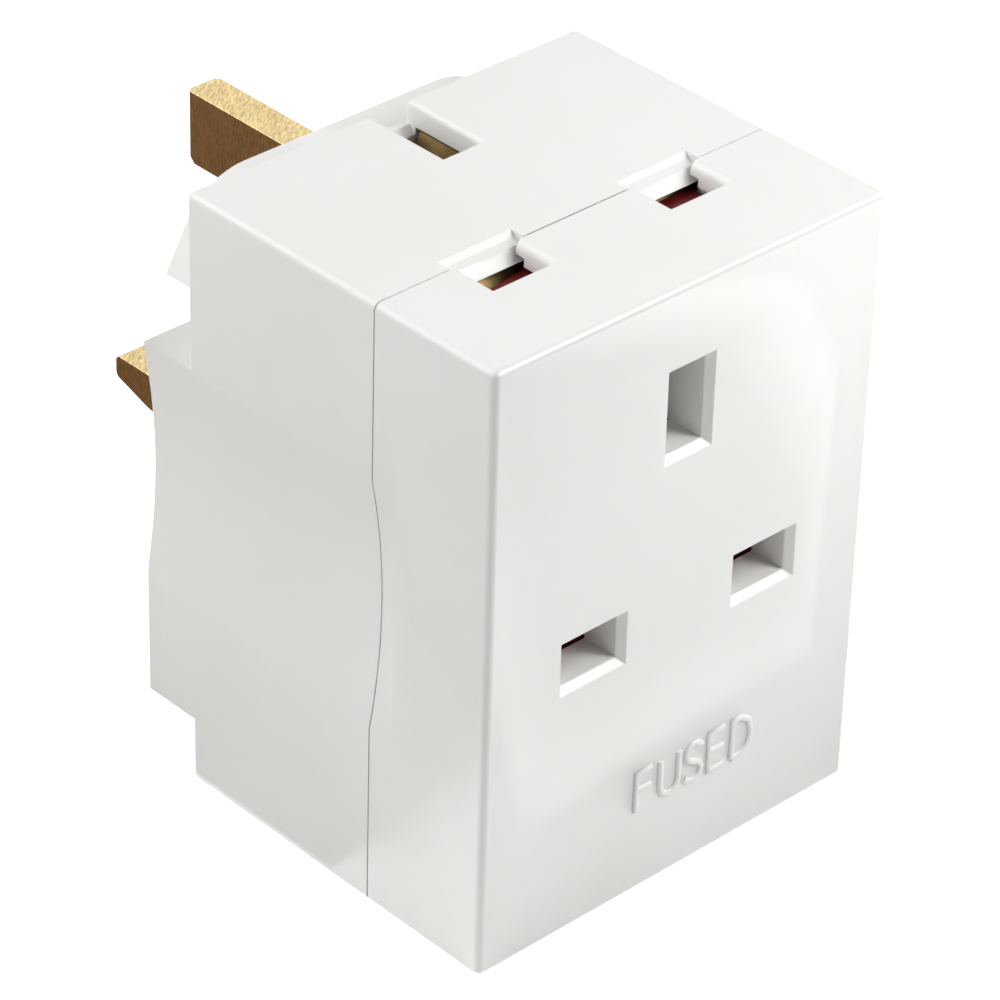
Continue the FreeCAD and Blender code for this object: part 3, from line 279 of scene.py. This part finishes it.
def plated_steel(name, bright, film, rough):
    """rough is the roughness where the metal is brightest."""
    made, tree, shader, where = new_material(name)
    cloud = add(tree, "ShaderNodeTexNoise", Vector=where, Scale=per_mm(FILM_MM), Detail=4.0, Roughness=0.6)
    shade = add(tree, "ShaderNodeValToRGB", stops=((0.35, colour(film)), (0.6, colour(bright))),
                Fac=cloud.outputs["Fac"])
    tree.links.new(shade.outputs["Color"], shader.inputs["Base Color"])
    shader.inputs["Metallic"].default_value = 1.0
    marks = add(tree, "ShaderNodeTexNoise", Vector=where, Scale=per_mm(RUBBED_MM), Detail=3.0, Roughness=0.6)
    spread = add(tree, "ShaderNodeMapRange", Value=marks.outputs["Fac"], From_Min=0.3, From_Max=0.7,
                 To_Min=rough, To_Max=rough + 0.15)
    tree.links.new(spread.outputs["Result"], shader.inputs["Roughness"])
    bump = add(tree, "ShaderNodeBump", Height=marks.outputs["Fac"], Strength=0.3, Distance=0.008 * MM)
    tree.links.new(bump.outputs["Normal"], shader.inputs["Normal"])
    return made


zinc_screw = plated_steel("zinc_plated_steel", "#cfcab6", "#a9a58f", 0.28)
nickel_cap = plated_steel("nickel_plated_brass", "#d8d5cc", "#b9b4a6", 0.29)
spring_steel = plated_steel("rolled_spring_steel", "#b9bcc0", "#8f9296", 0.30)
print("plated:", zinc_screw.name, nickel_cap.name, spring_steel.name)

# %% [markdown]
# Each node of the part takes the finish of its material slot. The three busbars share the slot of
# the contacts but were stamped from a brighter strip, so they have their own material.

# %% Give every node its finish
FINISHES = {
    "white_moulding": housing_urea, "pin_brass": pin_brass, "sleeve_moulding": black_nylon,
    "contact_strip": contact_brass_painted_shade, "shutter_moulding": red_acetal, "spring_strip": spring_steel,
    "plated_screw": zinc_screw, "fuse_ceramic": fired_ceramic, "fuse_cap_plating": nickel_cap,
    "carrier_moulding": carrier_urea,
}
slot_of = {row["node"]: row["material_slot"] for row in frame["record"]["subparts"]}
for node, thing in frame["nodes"].items():
    finish = bar_brass if "busbar" in node else FINISHES[slot_of[node]]
    thing.data.materials.clear()
    thing.data.materials.append(finish)
print("finished nodes:", len(slot_of))

# %% [markdown]
# ## Softer edges on the mouldings and pins
# A CAD solid has edges that are perfectly sharp, and the real mould can't make one: each edge has a
# radius of about a tenth of a millimetre, and it is the thin highlight there that shows where one
# face ends. Each visible piece is copied, its loose triangles are merged into whole faces, and its
# sharp edges get a narrow bevel. The copy stands for the node, which stays for the simulation.
#
# Two forms are rounder than that. Behind the flat slots of the top and bottom sockets the rear
# moulding slopes down to the parting line, and both long edges of each slope are rolled. The flat
# pins have a swaged end, with its lower edges rolled. Both are picked out by where they lie.

# %% Edges that lie across the part
SAME_MM, PLACE_MM = 0.01, 0.02


def runs_across(edge):
    """Whether an edge runs along X alone."""
    a, b = (vert.co for vert in edge.verts)
    return abs(a.y - b.y) < SAME_MM * MM and abs(a.z - b.z) < SAME_MM * MM


def roll(shape, edges, radius_mm, steps):
    """Give these edges a round of this radius."""
    bmesh.ops.bevel(shape, geom=edges, offset=radius_mm * MM, offset_type="OFFSET", segments=steps,
                    profile=0.5, affect="EDGES", clamp_overlap=True, material=-1)


print("an edge counts as running across within", SAME_MM, "mm")

# %% Rounded rims behind the flat slots
RIM_Y = cad_box[0][1] + 15.8 * MM
RIM_SLOPE = 1.6 * MM
RIM_RADIUS, RIM_STEPS = 1.1, 6
TOP_Z = cad_box[1][2]


def round_rims(shape):
    """Roll the two long edges of each slope, at the top and at the bottom of the housing."""
    rims = []
    for edge in shape.edges:
        place = edge.verts[0].co
        rise = min(place.z, TOP_Z - place.z)
        front = abs(place.y - RIM_Y) < PLACE_MM * MM and abs(rise - RIM_SLOPE) < PLACE_MM * MM
        outer = abs(place.y - RIM_Y - RIM_SLOPE) < PLACE_MM * MM and abs(rise) < PLACE_MM * MM
        if runs_across(edge) and (front or outer):
            rims.append(edge)
    roll(shape, rims, RIM_RADIUS, RIM_STEPS)
    print("rolled rim edges:", len(rims))


# %% Rounded noses of the flat pins
NOSE_RADIUS, NOSE_STEPS = 1.2, 4
NOSE_REACH, NOSE_RISE, SHORTEST = 6.5, 0.3, 1.0


def round_nose(shape):
    """Roll the edges across the pin's free end, where the bar was swaged."""
    end = max(vert.co.y for vert in shape.verts)
    middle = sum(vert.co.z for vert in shape.verts) / len(shape.verts)
    nose = []
    for edge in shape.edges:
        a, b = (vert.co for vert in edge.verts)
        across = runs_across(edge) and abs(a.x - b.x) > SHORTEST * MM
        if across and a.y > end - NOSE_REACH * MM and a.z < middle + NOSE_RISE * MM:
            nose.append(edge)
    roll(shape, nose, NOSE_RADIUS, NOSE_STEPS)
    print("rolled nose edges:", len(nose))


# %% A bevelled copy of a node
MERGE_MM = 0.0005
FLAT, SHARP = math.radians(0.6), math.radians(24)
BEVEL_STEPS = 2


def softened(node, radius_mm):
    """A copy of the node with worn edges, which stands for it and moves with its body."""
    source = frame["nodes"][node]
    mesh = source.data.copy()
    mesh.name = "soft_" + node
    shape = bmesh.new()
    shape.from_mesh(mesh)
    bmesh.ops.remove_doubles(shape, verts=shape.verts, dist=MERGE_MM * MM)
    bmesh.ops.dissolve_limit(shape, angle_limit=FLAT, verts=shape.verts, edges=shape.edges,
                             delimit={"NORMAL"})
    if node == "rear_body":
        round_rims(shape)
    if node in ("line_pin", "neutral_pin"):
        round_nose(shape)
    for face in shape.faces:
        face.smooth = True
    for edge in shape.edges:
        edge.smooth = edge.is_manifold and edge.calc_face_angle(0) < SHARP
    shape.to_mesh(mesh)
    shape.free()
    copy = bpy.data.objects.new("soft_" + node, mesh)
    scene.collection.objects.link(copy)
    edges = copy.modifiers.new("worn_edges", "BEVEL")
    edges.width = radius_mm * MM
    edges.segments = BEVEL_STEPS
    edges.limit_method = "ANGLE"
    edges.angle_limit = SHARP
    edges.harden_normals = True
    edges.use_clamp_overlap = True
    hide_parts(node)
    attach(copy, source["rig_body"])
    return copy


# radius of each worn edge in millimetres
SOFT_EDGES = {
    "front_cover": 0.10, "rear_body": 0.10, "earth_pin": 0.05, "line_pin": 0.05, "neutral_pin": 0.05,
    "line_sleeve": 0.08, "neutral_sleeve": 0.08, "fuse_carrier": 0.08, "shutter_front": 0.08,
    "shutter_top": 0.08, "shutter_bottom": 0.08,
}
for node, radius in SOFT_EDGES.items():
    piece = softened(node, radius)
    print(piece.name, len(piece.data.polygons), "faces before the bevel")

# %% [markdown]
# Each shutter spring is a folded strip of steel that stands still at one end and is pushed at the
# other. Each gets a copy with worn edges and a mesh of its own.

# %% Spring copies
TRAVEL, STRIP_EDGE = 5.0, 0.03
# the axis that each spring closes along, 1 for Y or 2 for Z, and its held end on it in millimetres
HELD_ENDS = {"front": (2, 20.1), "top": (1, -18.5), "bottom": (1, -18.5)}
for side, (axis, held) in HELD_ENDS.items():
    spring = softened("shutter_spring_" + side, STRIP_EDGE)
    direction, anchor = Vector(), Vector()
    direction[axis], anchor[axis] = 1.0, held * MM
    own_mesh(spring)

# %% [markdown]
# ## The raised word
# A plain word on the front says that the adaptor has a fuse inside. It is cut into the mould with a
# round cutter that goes in a little way, so each stroke stands up as a low, rounded bead. Each
# letter is a few runs of points, as shares of its height. They are swept with a round bevel and
# turned into a mesh, which is sunk halfway into the face and pressed a little flatter.

# %% Letter strokes
LETTER_HEIGHT = 4.4
LETTERS = {
    "F": [[(0, 0), (0, 1), (0.44, 1)], [(0, 0.54), (0.44, 0.54)]],
    "U": [[(0, 1), (0, 0.28), (0.08, 0.1), (0.28, 0), (0.48, 0.1), (0.56, 0.28), (0.56, 1)]],
    "S": [[(0.5, 0.86), (0.4, 0.97), (0.25, 1), (0.1, 0.92), (0.04, 0.75), (0.1, 0.6), (0.26, 0.51),
           (0.44, 0.42), (0.52, 0.26), (0.45, 0.08), (0.28, 0), (0.11, 0.03), (0, 0.15)]],
    "E": [[(0.46, 1), (0, 1), (0, 0), (0.46, 0)], [(0, 0.52), (0.44, 0.52)]],
    "D": [[(0, 0), (0, 1), (0.26, 1), (0.5, 0.84), (0.58, 0.5), (0.5, 0.16), (0.26, 0), (0, 0)]],
}
PLACES = {"F": -4.7, "U": -1.5, "S": 1.75, "E": 5.0, "D": 8.2}
BASE_LINE, STROKE, RELIEF, ROUND_STEPS = 9.85, 0.75, 0.8, 3
front_y = cad_box[0][1]


def letter(name, left):
    """One letter as round beads on the front face."""
    curve = bpy.data.curves.new("bead_" + name, "CURVE")
    curve.dimensions = "3D"
    curve.bevel_depth = STROKE / 2 * MM
    curve.bevel_resolution = ROUND_STEPS
    curve.use_fill_caps = True
    for run in LETTERS[name]:
        spline = curve.splines.new("POLY")
        spline.points.add(len(run) - 1)
        for point, (x, z) in zip(spline.points, run):
            point.co = ((left + x * LETTER_HEIGHT) * MM, front_y, (BASE_LINE + z * LETTER_HEIGHT) * MM, 1)
    carrier = bpy.data.objects.new("bead_" + name, curve)
    mesh = bpy.data.meshes.new_from_object(carrier)
    bpy.data.objects.remove(carrier)
    made = bpy.data.objects.new("raised_" + name, mesh)
    scene.collection.objects.link(made)
    for vert in mesh.vertices:
        vert.co.y = front_y + (vert.co.y - front_y) * RELIEF
    for face in mesh.polygons:
        face.use_smooth = True
    mesh.materials.clear()
    mesh.materials.append(housing_urea)
    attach(made, "housing")
    return made


for name, left in PLACES.items():
    made = letter(name, left)
    print(made.name, len(made.data.polygons), "faces")

# %% [markdown]
# ## Floor, light and camera
# The object stands on a white sweep of matt paper under soft lamps. The paper glows a little for
# the camera and for reflections, and gives off no light of its own, so it comes out plain white
# while the shades on the object come from the lamps.

# %% White floor
FLOOR_RADIUS, FLOOR_SIDES = 3.0, 96
FLOOR_GLOW, SPECK_MM = 0.75, 3.0


def white_sweep():
    """White paper that glows for every ray but those that light other surfaces."""
    made, tree, shader, where = new_material("matt_white_sweep")
    speck = add(tree, "ShaderNodeTexNoise", Vector=where, Scale=per_mm(SPECK_MM), Detail=2.0)
    paper = add(tree, "ShaderNodeValToRGB", stops=((0.3, grey(0.86)), (0.7, grey(0.88))),
                Fac=speck.outputs["Fac"])
    tree.links.new(paper.outputs["Color"], shader.inputs["Base Color"])
    shader.inputs["Roughness"].default_value = 0.9
    path = add(tree, "ShaderNodeLightPath")
    seen = add(tree, "ShaderNodeMath", {"operation": "MAXIMUM"}, _0=path.outputs["Is Camera Ray"],
               _1=path.outputs["Is Glossy Ray"])
    seen = add(tree, "ShaderNodeMath", {"operation": "MAXIMUM"}, _0=seen.outputs[0],
               _1=path.outputs["Is Transmission Ray"])
    glow = add(tree, "ShaderNodeEmission", Color=grey(1.0), Strength=FLOOR_GLOW)
    dark = add(tree, "ShaderNodeEmission", Color=grey(0.0), Strength=0.0)
    choice = add(tree, "ShaderNodeMixShader", _0=seen.outputs[0], _1=dark.outputs[0], _2=glow.outputs[0])
    both = add(tree, "ShaderNodeAddShader", _0=shader.outputs[0], _1=choice.outputs[0])
    output = [n for n in tree.nodes if n.type == "OUTPUT_MATERIAL"][0]
    tree.links.new(both.outputs[0], output.inputs["Surface"])
    return made


floor_shape = bmesh.new()
bmesh.ops.create_circle(floor_shape, cap_ends=True, segments=FLOOR_SIDES, radius=FLOOR_RADIUS)
floor_mesh = bpy.data.meshes.new("floor")
floor_shape.to_mesh(floor_mesh)
floor_shape.free()
floor = bpy.data.objects.new("floor", floor_mesh)
floor_mesh.materials.append(white_sweep())
scene.collection.objects.link(floor)
print("floor:", floor.name, 2 * FLOOR_RADIUS, "m across")

# %% [markdown]
# A photographer stands brown boards beside a shiny metal part, out of the picture, so that its side
# turns dark in the reflection and its shape reads. One lies beside the pins and one stands behind
# it, and both are met by reflections alone.

# %% Brown boards beside the pins
board_paper = grained_plastic("brown_board_paper", "#5f3a1e", "#523118", 0.5, 0.9, 0.01)
# middle and half size in millimetres, and turn about Y in degrees
BOARDS = {
    "lying_board": ((-130, 150, 1), (140, 150), 0),
    "standing_board": ((-180, 190, 75), (75, 220), 90),
}
for name, (place, half, turn) in BOARDS.items():
    board_shape = bmesh.new()
    bmesh.ops.create_grid(board_shape, x_segments=1, y_segments=1, size=1.0)
    bmesh.ops.transform(board_shape, verts=board_shape.verts, matrix=Matrix.LocRotScale(
        Vector(place) * MM, Euler((0, math.radians(turn), 0)), Vector((*half, 1)) * MM))
    board_mesh = bpy.data.meshes.new(name)
    board_shape.to_mesh(board_mesh)
    board_shape.free()
    board_mesh.materials.append(board_paper)
    board = bpy.data.objects.new(name, board_mesh)
    board.visible_camera = board.visible_diffuse = False
    board.visible_transmission = board.visible_shadow = False
    scene.collection.objects.link(board)
print("boards:", ", ".join(BOARDS))

# %% [markdown]
# Five soft lamps stand round the object, all turned to its middle. The large one at the back left
# lights the top and the left side, the two in front the face with the slots, and the two at the
# sides keep the turned edges from going dark. The room adds a little light from everywhere, and
# the camera and the reflections see it as plain white.

# %% Lamps
def softbox(name, place_mm, aim_mm, size_mm, watts):
    """A rectangular lamp of this size that shines at the aim."""
    lamp = bpy.data.lights.new(name, "AREA")
    lamp.shape = "RECTANGLE"
    lamp.size, lamp.size_y = (side * MM for side in size_mm)
    lamp.energy = watts
    held = bpy.data.objects.new(name, lamp)
    place, aim = Vector(place_mm) * MM, Vector(aim_mm) * MM
    held.location = place
    held.rotation_mode = "QUATERNION"
    held.rotation_quaternion = (aim - place).to_track_quat("-Z", "Y")
    scene.collection.objects.link(held)
    return held


MIDDLE = (0, 0, 33)
# place and size in millimetres, and power in watts
LAMPS = {
    "front_high": ((170, -240, 420), (200, 200), 0.75),
    "front_right": ((130, -190, 190), (100, 100), 0.30),
    "right_side": ((260, -110, 160), (100, 100), 0.16),
    "left_back": ((-500, 200, 250), (250, 250), 0.35),
    "back_left": ((-300, 300, 400), (600, 600), 3.1),
}
for name, (place, size, watts) in LAMPS.items():
    softbox(name, place, MIDDLE, size, watts)
print("lamps:", ", ".join(LAMPS))

# %% World
ROOM = 0.02
world = bpy.data.worlds.new("studio")
scene.world = world
world.use_nodes = True
world.node_tree.nodes.clear()
sky_path = add(world.node_tree, "ShaderNodeLightPath")
room = add(world.node_tree, "ShaderNodeBackground", Color=grey(1.0), Strength=ROOM)
white = add(world.node_tree, "ShaderNodeBackground", Color=grey(1.0), Strength=1.0)
bare = add(world.node_tree, "ShaderNodeMath", {"operation": "MAXIMUM"}, _0=sky_path.outputs["Is Camera Ray"],
           _1=sky_path.outputs["Is Glossy Ray"])
bare = add(world.node_tree, "ShaderNodeMath", {"operation": "MAXIMUM"}, _0=bare.outputs[0],
           _1=sky_path.outputs["Is Transmission Ray"])
pick = add(world.node_tree, "ShaderNodeMixShader", _0=bare.outputs[0], _1=room.outputs[0],
           _2=white.outputs[0])
add(world.node_tree, "ShaderNodeOutputWorld", Surface=pick.outputs[0])
print("world:", world.name)

# %% [markdown]
# The camera was fitted to the edges of the housing: it stands up and to the left, about half a
# metre away, with a long lens. Its place is measured from the middle of the front face's foot.

# %% Camera
FOCAL_PX, FRAME_PX, SENSOR = 4904.74, 1000, 36.0
CAMERA_MM, CAMERA_TURN = (-272.793, -259.746, 292.534), (56.4144, -1.4194, -42.8613)
FRONT_MM = -20.9
lens = bpy.data.cameras.new("camera")
lens.sensor_width = SENSOR
lens.lens = FOCAL_PX / FRAME_PX * SENSOR
lens.clip_start, lens.clip_end = 0.05, 20
camera = bpy.data.objects.new("camera", lens)
camera.location = (Vector(CAMERA_MM) + Vector((0, FRONT_MM, 0))) * MM
camera.rotation_euler = Euler([math.radians(angle) for angle in CAMERA_TURN], "XYZ")
scene.collection.objects.link(camera)
scene.camera = camera
scene.view_settings.view_transform = "Standard"
print("lens", round(lens.lens, 1), "mm")
